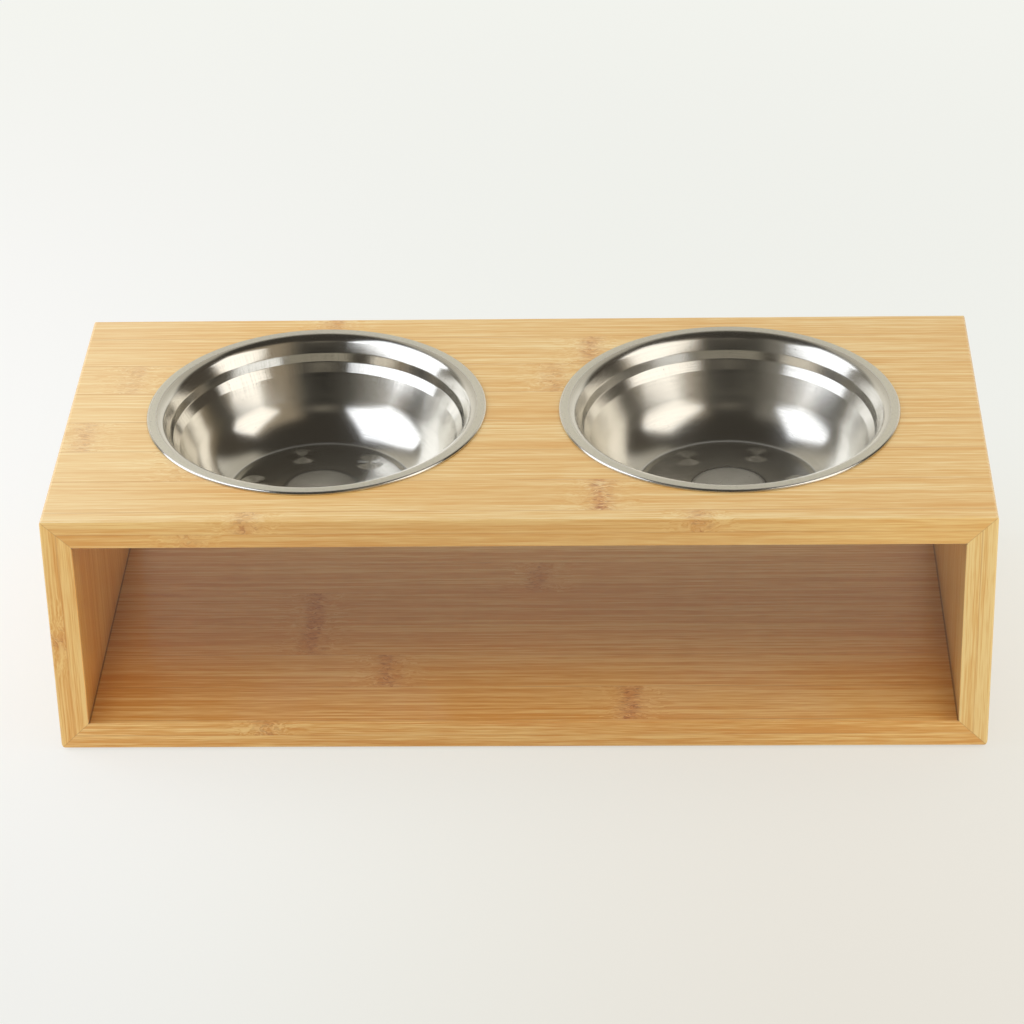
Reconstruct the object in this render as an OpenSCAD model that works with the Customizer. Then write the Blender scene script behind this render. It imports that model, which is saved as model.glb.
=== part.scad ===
// Raised feeder: a mitred bamboo frame with an open storage bay and two lift-out steel bowls.
// Millimetres. X runs left to right, Y runs away from the front, Z up. The origin is on the floor,
// under the middle of the frame.

/* [Frame] */
// Width of the frame, left to right
frame_w = 400; // [360:5:600]
// Depth of the frame, front to back
frame_d = 182; // [164:2:260]
// Height of the wooden frame, without its pads
frame_h = 114; // [84:2:200]
// Thickness of the four boards
board_t = 13; // [11:0.5:20]
// Radius of the long outer arrises along the top board
top_round_r = 1.6; // [1.2:0.1:4]
// Radius of the long outer arrises along the base board
base_round_r = 2.8; // [1.2:0.1:5]
// Radius of the outer arrises around the front and back faces
face_ease_r = 1; // [0.4:0.1:1.2]
// Radius of the arrises around the mouths of the storage bay
mouth_ease_r = 0.5; // [0.3:0.1:1.2]

/* [Bowls] */
// Distance between the centres of the two bowls
bowl_spacing = 181; // [160:1:198]
// Distance of the bowls' centres behind the middle of the frame
bowl_set_back = 4.6; // [0:0.2:6]
// Outer diameter of a bowl's rim
rim_d = 149.3; // [144:0.1:156]
// Width of the rim, from its outer edge to the top of the wall
flange_w = 6.6; // [6:0.1:12]
// Height of the lip that is turned down around the rim
lip_h = 1.3; // [1.3:0.1:4]
// Radius of the bend between the flange and the lip
lip_bend_r = 1.1; // [1:0.1:1.2]
// Radius of the bend between the flange and the flared mouth
mouth_bend_r = 5.2; // [2:0.1:6]
// Thickness of the steel sheet
sheet_t = 0.7; // [0.4:0.1:1]
// Depth inside a bowl, from the rim down to its floor
bowl_depth = 41.2; // [38:0.1:56]
// Lean of the flared mouth from the upright, in degrees
flare_lean = 27; // [20:0.5:32]
// Height of the flared mouth, from the rim's face down
flare_h = 6.9; // [6:0.1:9]
// Lean of the upper wall below the flare, in degrees
wall_lean = 11; // [4:0.5:14]
// Height of the upper wall, from the flare down to the stacking shoulder
upper_wall_h = 4.2; // [3.4:0.1:6]
// Height of the stacking shoulder
shoulder_h = 4.1; // [3.4:0.1:7]
// Width by which the stacking shoulder draws the wall in
shoulder_w = 2.6; // [2:0.1:5]
// Lean of the body below the shoulder from the upright, in degrees
body_lean = 21.7; // [8:0.1:24]
// Radius of the body between its upper part and its slope down to the foot ring
foot_bend_r = 28; // [12:0.5:30]
// Slope from the level at which the body meets the foot ring, in degrees
foot_slope = 24; // [14:0.5:32]
// Length of the straight part of that slope
foot_run = 1.2; // [0.6:0.1:4]
// Width of the flat foot ring that the bowl stands on
foot_w = 1.2; // [1:0.1:5]
// Rise of the floor inside the foot ring
floor_rise = 0.3; // [0.2:0.1:1.2]
// Diameter of the turned disc in the middle of the floor
disc_d = 33; // [24:1:50]
// Rise of the turned disc above the floor
disc_rise = 0.4; // [0.2:0.1:0.8]

/* [Biscuits] */
// Length of a biscuit, front to back
biscuit_l = 38; // [26:1:42]
// Width of a biscuit, across the mitre
biscuit_w = 12; // [8:0.5:13]
// Thickness of a biscuit
biscuit_t = 3; // [2:0.5:4]
// Distance along the mitre from its inner corner to the middle of a biscuit
biscuit_seat = 6; // [5:0.5:7]
// Distance from the front or back face to the nearest biscuit's end
biscuit_margin = 17; // [8:1:20]
// Length cut off each pointed end of a biscuit
biscuit_blunt = 2; // [1:0.5:3]

/* [Pads] */
// Diameter of a pad under the base
pad_d = 12; // [8:1:20]
// Thickness of a pad
pad_t = 1; // [0.8:0.1:3]
// Distance from the frame's side, front or back to a pad's centre
pad_inset = 14; // [12:1:30]
// Bevel around a pad's lower edge
pad_bevel = 0.3; // [0.1:0.1:0.4]

/* [Fits] */
// Gap around a bowl's wall in its cut-out
cutout_gap = 0.8; // [0.4:0.1:1.5]
// Gap under a resting bowl's lip
lip_gap = 0.1; // [0.05:0.05:0.3]
// Gap all around a biscuit in its slot
biscuit_gap = 0.15; // [0.1:0.05:0.3]
// Chamfer around both ends of a cut-out
cutout_chamfer = 0.8; // [0.4:0.1:1.5]

/* [Hidden] */
$fn = 96;
// Steps in a quarter turn of a rounded corner
quarter_steps = 8;
// Length by which a cutter runs past the face that it opens
past = 1;

base_z = pad_t;
top_z = base_z + frame_h;
top_under_z = top_z - board_t;
bay_floor_z = base_z + board_t;

rim_r = rim_d / 2;
mouth_r = rim_r - flange_w;
rim_z = top_z + lip_gap + lip_h;
// Radius of the mouth's underside at the top board's face, which the cut-out clears
mouth_out_r = mouth_r + mouth_bend_r * tan(45 - flare_lean / 2);
seat_drop = max(0, mouth_bend_r - lip_h - lip_gap);
bend_under_r = mouth_out_r - sqrt(max(0, pow(mouth_bend_r - sheet_t, 2) - pow(seat_drop, 2)));
cutout_r = max(mouth_r + sheet_t + cutout_gap, bend_under_r);

flare_foot_r = mouth_r - flare_h * tan(flare_lean);
shoulder_top_z = -(flare_h + upper_wall_h);
shoulder_top_r = flare_foot_r - upper_wall_h * tan(wall_lean);
shoulder_foot_r = shoulder_top_r - shoulder_w;
shoulder_foot_z = shoulder_top_z - shoulder_h;
floor_z = -bowl_depth;
foot_z = floor_z - floor_rise;
// Corner where the body's upper part and its slope down to the foot ring would meet
slope_l = foot_bend_r * tan(45 - (body_lean + foot_slope) / 2) + foot_run;
body_corner_z = foot_z + slope_l * sin(foot_slope);
body_corner_r = shoulder_foot_r - (shoulder_foot_z - body_corner_z) * tan(body_lean);
foot_out_r = body_corner_r - slope_l * cos(foot_slope);
foot_in_r = foot_out_r - foot_w;
disc_r = disc_d / 2;
// Bends under the flare, at the two ends of the shoulder and at the foot ring's edge
flare_bend_r = 3;
shoulder_top_bend_r = 1.8;
shoulder_foot_bend_r = 1.8;
foot_edge_bend_r = 1.2;
// Slope of the floor's steps and their bends
step_slope_w = 2;
step_bend_r = 1.5;

biscuit_arc_r = (biscuit_l * biscuit_l + biscuit_w * biscuit_w) / (4 * biscuit_w);
biscuit_span = frame_d - 2 * biscuit_margin - biscuit_l;

// Side of each corner of the frame: left or right, top or base
CORNERS = [
    ["top_left", -1, 1],
    ["top_right", 1, 1],
    ["base_left", -1, -1],
    ["base_right", 1, -1]
];
// Place of each biscuit along a mitre, as a share of half the biscuits' span
PLACES = [["front", -1], ["middle", 0], ["back", 1]];
// Side of each pad: left or right, front or back
PADS = [
    ["front_left", -1, -1],
    ["front_right", 1, -1],
    ["back_left", -1, 1],
    ["back_right", 1, 1]
];

function biscuit_name(corner, place) = str("biscuit_", corner[0], "_", place[0]);
function pad_name(pad) = str("pad_", pad[0]);

// ---- Outlines with rounded corners; each corner is [x, y, radius] ----

function place_of(corner) = [corner[0], corner[1]];
function unit(v) = v / norm(v);
function left_of(v) = [-v[1], v[0]];
function turn_of(before, after) = sign(before[0] * after[1] - before[1] * after[0]);

// Arc that rounds the corner at b, between the legs to a and to c
function corner_arc(a, b, c, r) =
    let (
        to_a = unit(a - b),
        to_c = unit(c - b),
        half = acos(to_a * to_c) / 2,
        centre = b + unit(to_a + to_c) * r / sin(half),
        first = b + to_a * r / tan(half) - centre,
        start = atan2(first[1], first[0]),
        sweep = (180 - 2 * half) * turn_of(-to_a, to_c),
        steps = max(2, ceil(abs(sweep) / 90 * quarter_steps))
    )
    [for (k = [0:steps]) centre + r * [cos(start + sweep * k / steps), sin(start + sweep * k / steps)]];

// Points of one corner, given its neighbours
function corner_points(before, corner, after) =
    corner[2] > 0
        ? corner_arc(place_of(before), place_of(corner), place_of(after), corner[2])
        : [place_of(corner)];

function closed_outline(corners) =
    let (count = len(corners))
    [for (i = [0:count - 1])
        each corner_points(corners[(i + count - 1) % count], corners[i], corners[(i + 1) % count])];

function open_outline(corners) =
    let (last = len(corners) - 1)
    concat(
        [place_of(corners[0])],
        [for (i = [1:last - 1]) each corner_points(corners[i - 1], corners[i], corners[i + 1])],
        [place_of(corners[last])]
    );

// The same open run of corners, moved to its right by a sheet's thickness
function direction(corners, i) = unit(place_of(corners[i + 1]) - place_of(corners[i]));
function far_side(corners, thickness) =
    let (last = len(corners) - 1)
    [for (i = [0:last])
        let (
            before = direction(corners, max(i - 1, 0)),
            after = direction(corners, min(i, last - 1)),
            shift = (left_of(before) + left_of(after)) / (1 + before * after),
            moved = place_of(corners[i]) - thickness * shift,
            bend = corners[i][2] + thickness * turn_of(before, after)
        )
        [moved[0], moved[1], corners[i][2] > 0 ? bend : 0]];

// ---- Boards ----

BAMBOO = [0.91, 0.76, 0.50];
STEEL = [0.74, 0.74, 0.72];
BEECH = [0.80, 0.65, 0.46];
RUBBER = [0.16, 0.16, 0.16];

// A section across X and Z, run from the front to the back
module along_y() {
    rotate([90, 0, 0])
        linear_extrude(frame_d, center = true)
            children();
}

// A section across Y and Z, run from left to right
module along_x() {
    rotate([90, 0, 90])
        linear_extrude(frame_w, center = true)
            children();
}

// Outer outline of the frame from the front, with its four long arrises rounded
module frame_outline() {
    polygon(closed_outline([
        [-frame_w / 2, base_z, base_round_r],
        [frame_w / 2, base_z, base_round_r],
        [frame_w / 2, top_z, top_round_r],
        [-frame_w / 2, top_z, top_round_r]
    ]));
}

// A level board's share of the frame: level is its outer face, inner its face on the bay
module level_share(level, inner) {
    intersection() {
        frame_outline();
        polygon([
            [-frame_w / 2, level],
            [frame_w / 2, level],
            [frame_w / 2 - board_t, inner],
            [-frame_w / 2 + board_t, inner]
        ]);
    }
}

// A side board's share of the frame, on the left (-1) or the right (1)
module side_share(side) {
    outer = side * frame_w / 2;
    inner = side * (frame_w / 2 - board_t);
    intersection() {
        frame_outline();
        polygon([[outer, base_z], [outer, top_z], [inner, top_under_z], [inner, bay_floor_z]]);
    }
}

// Section of a board across its thickness: the outer face at one end, the bay's face at the other
function board_edge(outer, inner) = closed_outline([
    [-frame_d / 2, outer, face_ease_r],
    [frame_d / 2, outer, face_ease_r],
    [frame_d / 2, inner, mouth_ease_r],
    [-frame_d / 2, inner, mouth_ease_r]
]);

module level_board(level, inner, height_side) {
    difference() {
        intersection() {
            along_y()
                level_share(level, inner);
            along_x()
                polygon(board_edge(level, inner));
        }
        for (corner = CORNERS)
            if (corner[2] == height_side)
                biscuit_slots(corner);
    }
}

module side_board(side) {
    outer = side * frame_w / 2;
    inner = side * (frame_w / 2 - board_t);
    color(BAMBOO)
        difference() {
            intersection() {
                along_y()
                    side_share(side);
                translate([0, 0, base_z])
                    linear_extrude(frame_h)
                        rotate(90)
                            mirror([0, 1])
                                polygon(board_edge(outer, inner));
            }
            for (corner = CORNERS)
                if (corner[1] == side)
                    biscuit_slots(corner);
        }
}

// Round hole for a bowl, chamfered at both ends
module bowl_cutout(side) {
    flare = cutout_chamfer + past;
    translate([side * bowl_spacing / 2, bowl_set_back, 0])
        rotate_extrude()
            polygon([
                [0, top_under_z - past],
                [cutout_r + flare, top_under_z - past],
                [cutout_r, top_under_z + cutout_chamfer],
                [cutout_r, top_z - cutout_chamfer],
                [cutout_r + flare, top_z + past],
                [0, top_z + past]
            ]);
}

module top_board() {
    color(BAMBOO)
        difference() {
            level_board(top_z, top_under_z, 1);
            for (side = [-1, 1])
                bowl_cutout(side);
        }
}

module base_board() {
    color(BAMBOO)
        level_board(base_z, bay_floor_z, -1);
}

// ---- Biscuits in the mitres ----

// Lens between two arcs, across X and Y, with its thickness along Z
module lens(gap) {
    centre_x = biscuit_arc_r - biscuit_w / 2;
    linear_extrude(biscuit_t + 2 * gap, center = true)
        intersection() {
            translate([centre_x, 0])
                circle(biscuit_arc_r + gap);
            translate([-centre_x, 0])
                circle(biscuit_arc_r + gap);
        }
}

// Stands children in a corner's mitre, square to it, at one of its places
module at_mitre(corner, place) {
    reach = biscuit_seat / sqrt(2);
    seat_x = corner[1] * (frame_w / 2 - board_t + reach);
    seat_z = corner[2] > 0 ? top_under_z + reach : bay_floor_z - reach;
    translate([seat_x, place[1] * biscuit_span / 2, seat_z])
        rotate([0, atan2(corner[1], corner[2]), 0])
            children();
}

module biscuit_slots(corner) {
    for (place = PLACES)
        at_mitre(corner, place)
            lens(biscuit_gap);
}

module biscuit(corner, place) {
    blunt_l = biscuit_l - 2 * biscuit_blunt;
    color(BEECH)
        at_mitre(corner, place)
            intersection() {
                lens(0);
                cube([biscuit_w + past, blunt_l, biscuit_t + past], center = true);
            }
}

// ---- Bowls ----

// Corners of a bowl's upper skin from its middle outwards, with the rim's face at height 0
BOWL_SKIN = [
    [0, floor_z + disc_rise, 0],
    [disc_r - step_slope_w / 2, floor_z + disc_rise, step_bend_r],
    [disc_r + step_slope_w / 2, floor_z, step_bend_r],
    [foot_in_r - step_slope_w, floor_z, step_bend_r],
    [foot_in_r, foot_z, foot_edge_bend_r],
    [foot_out_r, foot_z, foot_edge_bend_r],
    [body_corner_r, body_corner_z, foot_bend_r],
    [shoulder_foot_r, shoulder_foot_z, shoulder_foot_bend_r],
    [shoulder_top_r, shoulder_top_z, shoulder_top_bend_r],
    [flare_foot_r, -flare_h, flare_bend_r],
    [mouth_r, 0, mouth_bend_r],
    [rim_r, 0, lip_bend_r],
    [rim_r, -lip_h, 0]
];

function reversed(points) = [for (i = [len(points) - 1:-1:0]) points[i]];

// Spun from one sheet, so its underside follows its upper skin
module bowl(side) {
    color(STEEL)
        translate([side * bowl_spacing / 2, bowl_set_back, rim_z])
            rotate_extrude()
                polygon(concat(
                    open_outline(BOWL_SKIN),
                    reversed(open_outline(far_side(BOWL_SKIN, sheet_t)))
                ));
}

// ---- Pads ----

module rubber_pad(pad) {
    pad_r = pad_d / 2;
    color(RUBBER)
        translate([pad[1] * (frame_w / 2 - pad_inset), pad[2] * (frame_d / 2 - pad_inset), 0])
            rotate_extrude()
                polygon([
                    [0, 0],
                    [pad_r - pad_bevel, 0],
                    [pad_r, pad_bevel],
                    [pad_r, pad_t],
                    [0, pad_t]
                ]);
}

// ---- The pieces ----

top_board();
base_board();
side_board(-1);  // left_side
side_board(1);  // right_side
bowl(-1);  // left_bowl
bowl(1);  // right_bowl
for (corner = CORNERS)
    for (place = PLACES)
        biscuit(corner, place);
for (pad = PADS)
    rubber_pad(pad);
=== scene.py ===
"""Looks of a raised two-bowl feeder: bamboo frame, spun steel bowls and their studio."""
import logging
import math
import random
from dataclasses import dataclass, field
from enum import Enum
from typing import Any, Callable, Mapping, Optional, Sequence, Union

import bpy
from mathutils import Matrix, Vector


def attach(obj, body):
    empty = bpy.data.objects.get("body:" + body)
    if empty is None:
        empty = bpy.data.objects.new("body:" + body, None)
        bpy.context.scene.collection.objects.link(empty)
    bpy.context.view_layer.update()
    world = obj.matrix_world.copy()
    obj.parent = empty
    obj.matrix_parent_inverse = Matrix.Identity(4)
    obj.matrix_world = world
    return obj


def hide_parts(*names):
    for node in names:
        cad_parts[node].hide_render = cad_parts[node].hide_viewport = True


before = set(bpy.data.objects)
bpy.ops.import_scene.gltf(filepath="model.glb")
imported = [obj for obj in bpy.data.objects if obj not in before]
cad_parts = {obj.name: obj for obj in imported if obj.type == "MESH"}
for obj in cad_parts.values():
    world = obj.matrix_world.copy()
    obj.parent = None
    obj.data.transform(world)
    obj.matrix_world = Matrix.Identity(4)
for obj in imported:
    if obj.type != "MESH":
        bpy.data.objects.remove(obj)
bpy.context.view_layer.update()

LOG = logging.getLogger("feeder")
MM = 0.001
RGB = tuple[float, float, float]
RGBA = tuple[float, float, float, float]
Number = Union[float, "Wire"]


def tone(red: int, green: int, blue: int) -> RGBA:
    """Turns a colour as it shows on screen into Blender's linear one.

    Args:
        red: Red, 0 to 255.
        green: Green, 0 to 255.
        blue: Blue, 0 to 255.

    Returns:
        Linear red, green, blue and a full alpha.
    """

    def linear(channel: int) -> float:
        """Undoes the screen's curve for one channel."""
        part = channel / 255.0
        return part / 12.92 if part <= 0.04045 else ((part + 0.055) / 1.055) ** 2.4

    return (linear(red), linear(green), linear(blue), 1.0)


# ---- Node trees written as expressions ----


def math_node(operation: str, turned: bool = False) -> Callable[..., "Wire"]:
    """Makes a method of Wire that adds one Math node.

    Args:
        operation: The Math node's operation.
        turned: Puts the other value first, as a reflected form does.

    Returns:
        The method, from self and the other values to the node's result.
    """

    def method(self: "Wire", *others: Number) -> "Wire":
        """Adds the node."""
        values = (*others, self) if turned else (self, *others)
        sockets = dict(zip(("Value", "Value_001", "Value_002"), values))
        return self.graph.wire("ShaderNodeMath", {"operation": operation}, sockets, "Value")

    return method


class Wire:
    """An output socket that carries a number and takes part in Python sums.

    root is the square root, larger and smaller pick one of two values, above is
    1 where self is the greater and 0 elsewhere, and angle_over gives the angle
    whose rise is self and whose run is the other value.
    """

    def __init__(self, graph: "Graph", socket: bpy.types.NodeSocket) -> None:
        """Keeps the socket and the graph it belongs to."""
        self.graph = graph
        self.socket = socket

    __add__ = __radd__ = math_node("ADD")
    __sub__ = math_node("SUBTRACT")
    __rsub__ = math_node("SUBTRACT", turned=True)
    __mul__ = __rmul__ = math_node("MULTIPLY")
    __truediv__ = math_node("DIVIDE")
    __rtruediv__ = math_node("DIVIDE", turned=True)
    __abs__ = math_node("ABSOLUTE")
    floor = math_node("FLOOR")
    exp = math_node("EXPONENT")
    sine = math_node("SINE")
    cosine = math_node("COSINE")
    root = math_node("SQRT")
    larger = math_node("MAXIMUM")
    smaller = math_node("MINIMUM")
    above = math_node("GREATER_THAN")
    angle_over = math_node("ARCTAN2")

    def __neg__(self) -> "Wire":
        """-self."""
        return self * -1.0

    def eased(self, low: float, high: float) -> "Wire":
        """Rises smoothly from 0 at low to 1 at high; low may be the larger.

        Args:
            low: Where the result is 0.
            high: Where the result is 1.

        Returns:
            A wire between 0 and 1.
        """
        turned = low > high
        ends = {"Value": self, "From Min": min(low, high), "From Max": max(low, high)}
        ends |= {"To Min": 1.0 if turned else 0.0, "To Max": 0.0 if turned else 1.0}
        settings = {"interpolation_type": "SMOOTHSTEP"}
        return self.graph.wire("ShaderNodeMapRange", settings, ends, "Result")

    def hump(self, width: float) -> "Wire":
        """A bell of height 1 where self is 0, falling to a third at width."""
        scaled = self / width
        return (-(scaled * scaled)).exp()


class Graph:
    """Builds nodes in one tree, for a material, the world or Geometry Nodes."""

    def __init__(self, tree: bpy.types.NodeTree) -> None:
        """Starts from an empty tree."""
        self.tree = tree
        tree.nodes.clear()

    def node(
        self,
        kind: str,
        settings: Optional[Mapping[str, Any]] = None,
        sockets: Optional[Mapping[str, Any]] = None,
    ) -> bpy.types.Node:
        """Adds a node, sets its settings and then its sockets.

        Args:
            kind: Blender's name for the node's type.
            settings: Settings by name; "stops" are a ramp's places and colours.
            sockets: Values, sockets or wires by the input's identifier.

        Returns:
            The node.
        """
        made = self.tree.nodes.new(kind)
        for name, value in (settings or {}).items():
            if name == "stops":
                self._set_stops(made.color_ramp, value)
            elif name == "blend_of_ramp":
                made.color_ramp.interpolation = value
            else:
                setattr(made, name, value)
        inputs = {socket.identifier: socket for socket in made.inputs}
        for name, value in (sockets or {}).items():
            source = value.socket if isinstance(value, Wire) else value
            if isinstance(source, bpy.types.NodeSocket):
                self.tree.links.new(source, inputs[name])
            else:
                inputs[name].default_value = source
        return made

    @staticmethod
    def _set_stops(ramp: bpy.types.ColorRamp, stops: Sequence[tuple[float, RGBA]]) -> None:
        """Gives a ramp its stops.

        Args:
            ramp: The ramp, new and with two stops.
            stops: The places, rising, and their colours.
        """
        while len(ramp.elements) < len(stops):
            ramp.elements.new(1.0)
        for element, (place, colour) in zip(ramp.elements, stops):
            element.position = place
            element.color = colour

    def socket(
        self,
        kind: str,
        settings: Optional[Mapping[str, Any]],
        sockets: Optional[Mapping[str, Any]],
        output: str,
    ) -> bpy.types.NodeSocket:
        """Adds a node as node() does.

        Args:
            kind: Blender's name for the node's type.
            settings: Settings by name.
            sockets: Values, sockets or wires by identifier.
            output: The output's identifier.

        Returns:
            That output.
        """
        made = self.node(kind, settings, sockets)
        return next(one for one in made.outputs if one.identifier == output)

    def wire(
        self,
        kind: str,
        settings: Optional[Mapping[str, Any]],
        sockets: Optional[Mapping[str, Any]],
        output: str,
    ) -> Wire:
        """Adds a node and wraps one output, which is named as for socket()."""
        return Wire(self, self.socket(kind, settings, sockets, output))

    def place(self) -> bpy.types.NodeSocket:
        """The point being shaded, in the object's own metres."""
        return self.socket("ShaderNodeTexCoord", None, None, "Object")

    def parts(self, vector: bpy.types.NodeSocket) -> tuple[Wire, Wire, Wire]:
        """A vector's three numbers."""
        made = self.node("ShaderNodeSeparateXYZ", None, {"Vector": vector})
        return tuple(Wire(self, socket) for socket in made.outputs)

    def joined(self, x: Number, y: Number, z: Number) -> bpy.types.NodeSocket:
        """A vector from three numbers."""
        return self.socket("ShaderNodeCombineXYZ", None, {"X": x, "Y": y, "Z": z}, "Vector")

    def noise(self, vector: bpy.types.NodeSocket, detail: float, rough: float) -> Wire:
        """Smooth noise between 0 and 1.

        Args:
            vector: Where to read it, one cell to each unit.
            detail: How many finer layers are added.
            rough: How strong each finer layer is.

        Returns:
            The noise.
        """
        sockets = {"Vector": vector, "Scale": 1.0, "Detail": detail, "Roughness": rough}
        return self.wire("ShaderNodeTexNoise", {"noise_dimensions": "3D"}, sockets, "Fac")

    def chance(self, vector: bpy.types.NodeSocket) -> tuple[Wire, Wire, Wire]:
        """Three unlike numbers between 0 and 1 for each value of a vector."""
        settings = {"noise_dimensions": "3D"}
        colour = self.socket("ShaderNodeTexWhiteNoise", settings, {"Vector": vector}, "Color")
        return self.channels(colour)

    def channels(self, colour: bpy.types.NodeSocket) -> tuple[Wire, Wire, Wire]:
        """A colour's red, green and blue."""
        made = self.node("ShaderNodeSeparateColor", {"mode": "RGB"}, {"Color": colour})
        return tuple(Wire(self, socket) for socket in made.outputs)

    def ramp(
        self, factor: Wire, stops: Sequence[tuple[float, RGBA]], blend: str
    ) -> bpy.types.NodeSocket:
        """Reads a colour ramp.

        Args:
            factor: Where to read it, 0 to 1.
            stops: The places, rising, and their colours.
            blend: How the colours run into each other.

        Returns:
            The colour.
        """
        settings = {"stops": stops, "blend_of_ramp": blend}
        return self.socket("ShaderNodeValToRGB", settings, {"Fac": factor}, "Color")

    def normal(self, kind: str) -> bpy.types.NodeSocket:
        """The surface's "Normal", or its flat "True Normal"."""
        return self.socket("ShaderNodeNewGeometry", None, None, kind)

    def rays(self) -> dict[str, Wire]:
        """Which kind of ray looks at the point, each 1 or 0, by the socket's name."""
        made = self.node("ShaderNodeLightPath")
        return {one.identifier: Wire(self, one) for one in made.outputs}

    def blend(
        self, share: Number, first: Any, second: Any, how: str = "MIX"
    ) -> bpy.types.NodeSocket:
        """Blends two colours.

        Args:
            share: How much of the second, 0 to 1.
            first: The first colour or socket.
            second: The second colour or socket.
            how: The blend's type.

        Returns:
            The blended colour.
        """
        settings = {"data_type": "RGBA", "blend_type": how, "clamp_factor": True}
        sockets = {"Factor_Float": share, "A_Color": first, "B_Color": second}
        return self.socket("ShaderNodeMix", settings, sockets, "Result_Color")

    def bump(self, height: Wire, strength: float = 1.0) -> bpy.types.NodeSocket:
        """A surface normal tilted by a height in metres."""
        sockets = {"Strength": strength, "Distance": 1.0, "Height": height}
        return self.socket("ShaderNodeBump", None, sockets, "Normal")


def new_material(name: str) -> tuple[bpy.types.Material, Graph]:
    """Makes an empty node material and the graph to fill it with."""
    material = bpy.data.materials.new(name)
    material.use_nodes = True
    return material, Graph(material.node_tree)


def finish_surface(graph: Graph, sockets: Mapping[str, Any]) -> None:
    """Ends a material in one Principled shader with these sockets."""
    shader = graph.socket("ShaderNodeBsdfPrincipled", None, sockets, "BSDF")
    graph.node("ShaderNodeOutputMaterial", None, {"Surface": shader})


@dataclass(frozen=True)
class Cells:
    """A layer of smooth noise: its cells in each measure, and its finer layers."""

    first: float
    second: float
    third: float
    detail: float = 2.0
    rough: float = 0.6

    def read(self, graph: Graph, first: Number, second: Number, third: Number) -> Wire:
        """Reads the noise, 0 to 1, where three measures of the point say."""
        vector = graph.joined(first * self.first, second * self.second, third * self.third)
        return graph.noise(vector, self.detail, self.rough)


# ---- Bamboo ----


class Grain(Enum):
    """Which way a board's fibres run."""

    LEVEL = "left to right"
    UPRIGHT = "bottom to top"


@dataclass(frozen=True)
class Knuckle:
    """Where a culm's joint crosses a strip, and how brown it is there."""

    at: float
    dark: float = 0.6


@dataclass(frozen=True)
class Lamella:
    """One strip of one ply: how light it is, and its knuckles."""

    light: float = 0.0
    knuckles: tuple[Knuckle, ...] = ()


@dataclass(frozen=True)
class Board:
    """A flat-pressed board: two plies of strips that lie side by side.

    Fields are in millimetres. first_seam is the front edge of strip 0, middle is
    where the two plies meet, and lamellae names strips by (strip, ply), ply 1
    being the upper or outer one. Strips that aren't named get their tone and
    their knuckles by seeded chance. contrast scales how much the fibres differ.
    near_bay and far_bay tint the faces that look into the bay, at their front and
    at their back: painted warm light bounced between the boards, and on the base
    painted shade that darkens the bay toward its back. edge_middle and edge_end
    multiply the upright faces, at the middle of the frame and at its ends: partly
    those faces' own deeper tone, and painted shade and light that leave the middle
    darker than the ends. A painted sheen makes the top's left end paler. These
    tints are painted into the colour and stand for light and shade.
    """

    node: str
    grain: Grain
    first_seam: float
    middle: float
    lamellae: Mapping[tuple[int, int], Lamella]
    seed: int
    contrast: float = 1.0
    # Painted light and shade: the bay's tints, then the upright faces' tints.
    near_bay: RGBA = (1.0, 1.0, 1.0, 1.0)
    far_bay: RGBA = (1.0, 1.0, 1.0, 1.0)
    edge_middle: RGBA = (0.89, 0.75, 0.53, 1.0)
    edge_end: RGBA = (1.0, 0.89, 0.67, 1.0)
    # How much a painted sheen pales the top's left end.
    painted_sheen: float = 0.0
    strips: int = 8
    far_off: float = 240.0

    def rows(self) -> list[Lamella]:
        """Every lamella in order, strip by strip and ply by ply."""
        luck = random.Random(self.seed)
        found = []
        for ply in range(2):
            for strip in range(self.strips):
                light = luck.uniform(-0.2, 0.2)
                at = luck.uniform(-190.0, 190.0)
                dark = luck.uniform(0.35, 0.8)
                chosen = Lamella(light, (Knuckle(at, dark),) if luck.random() < 0.6 else ())
                found.append(self.lamellae.get((strip, ply), chosen))
        return found


@dataclass(frozen=True)
class GrainPlace:
    """The shaded point in a board's own directions, in metres."""

    along: Wire
    across: Wire
    through: Wire

    def moved(self, across: Wire, through: Wire) -> "GrainPlace":
        """The point moved across and through the board."""
        return GrainPlace(self.along, self.across + across, self.through + through)


@dataclass(frozen=True)
class Streaks:
    """A layer of noise; along, across and through count its cells in a metre."""

    along: float
    across: float
    through: float
    detail: float = 2.0
    rough: float = 0.6

    def read(self, graph: Graph, place: GrainPlace, shift: Number = 0.0) -> Wire:
        """Reads the layer at a point.

        Args:
            graph: The material's graph.
            place: The point.
            shift: Moves the pattern, so that boards and strips differ.

        Returns:
            Noise round 0, mostly between -0.3 and 0.3.
        """
        vector = graph.joined(
            place.along * self.along + shift,
            place.across * self.across + shift,
            place.through * self.through,
        )
        return graph.noise(vector, self.detail, self.rough) - 0.5


@dataclass(frozen=True)
class KnuckleField:
    """The bands round the nearest knuckle, how brown it is, and the strip's lightness."""

    core: Wire
    halo: Wire
    dark: Wire
    light: Wire


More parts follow.
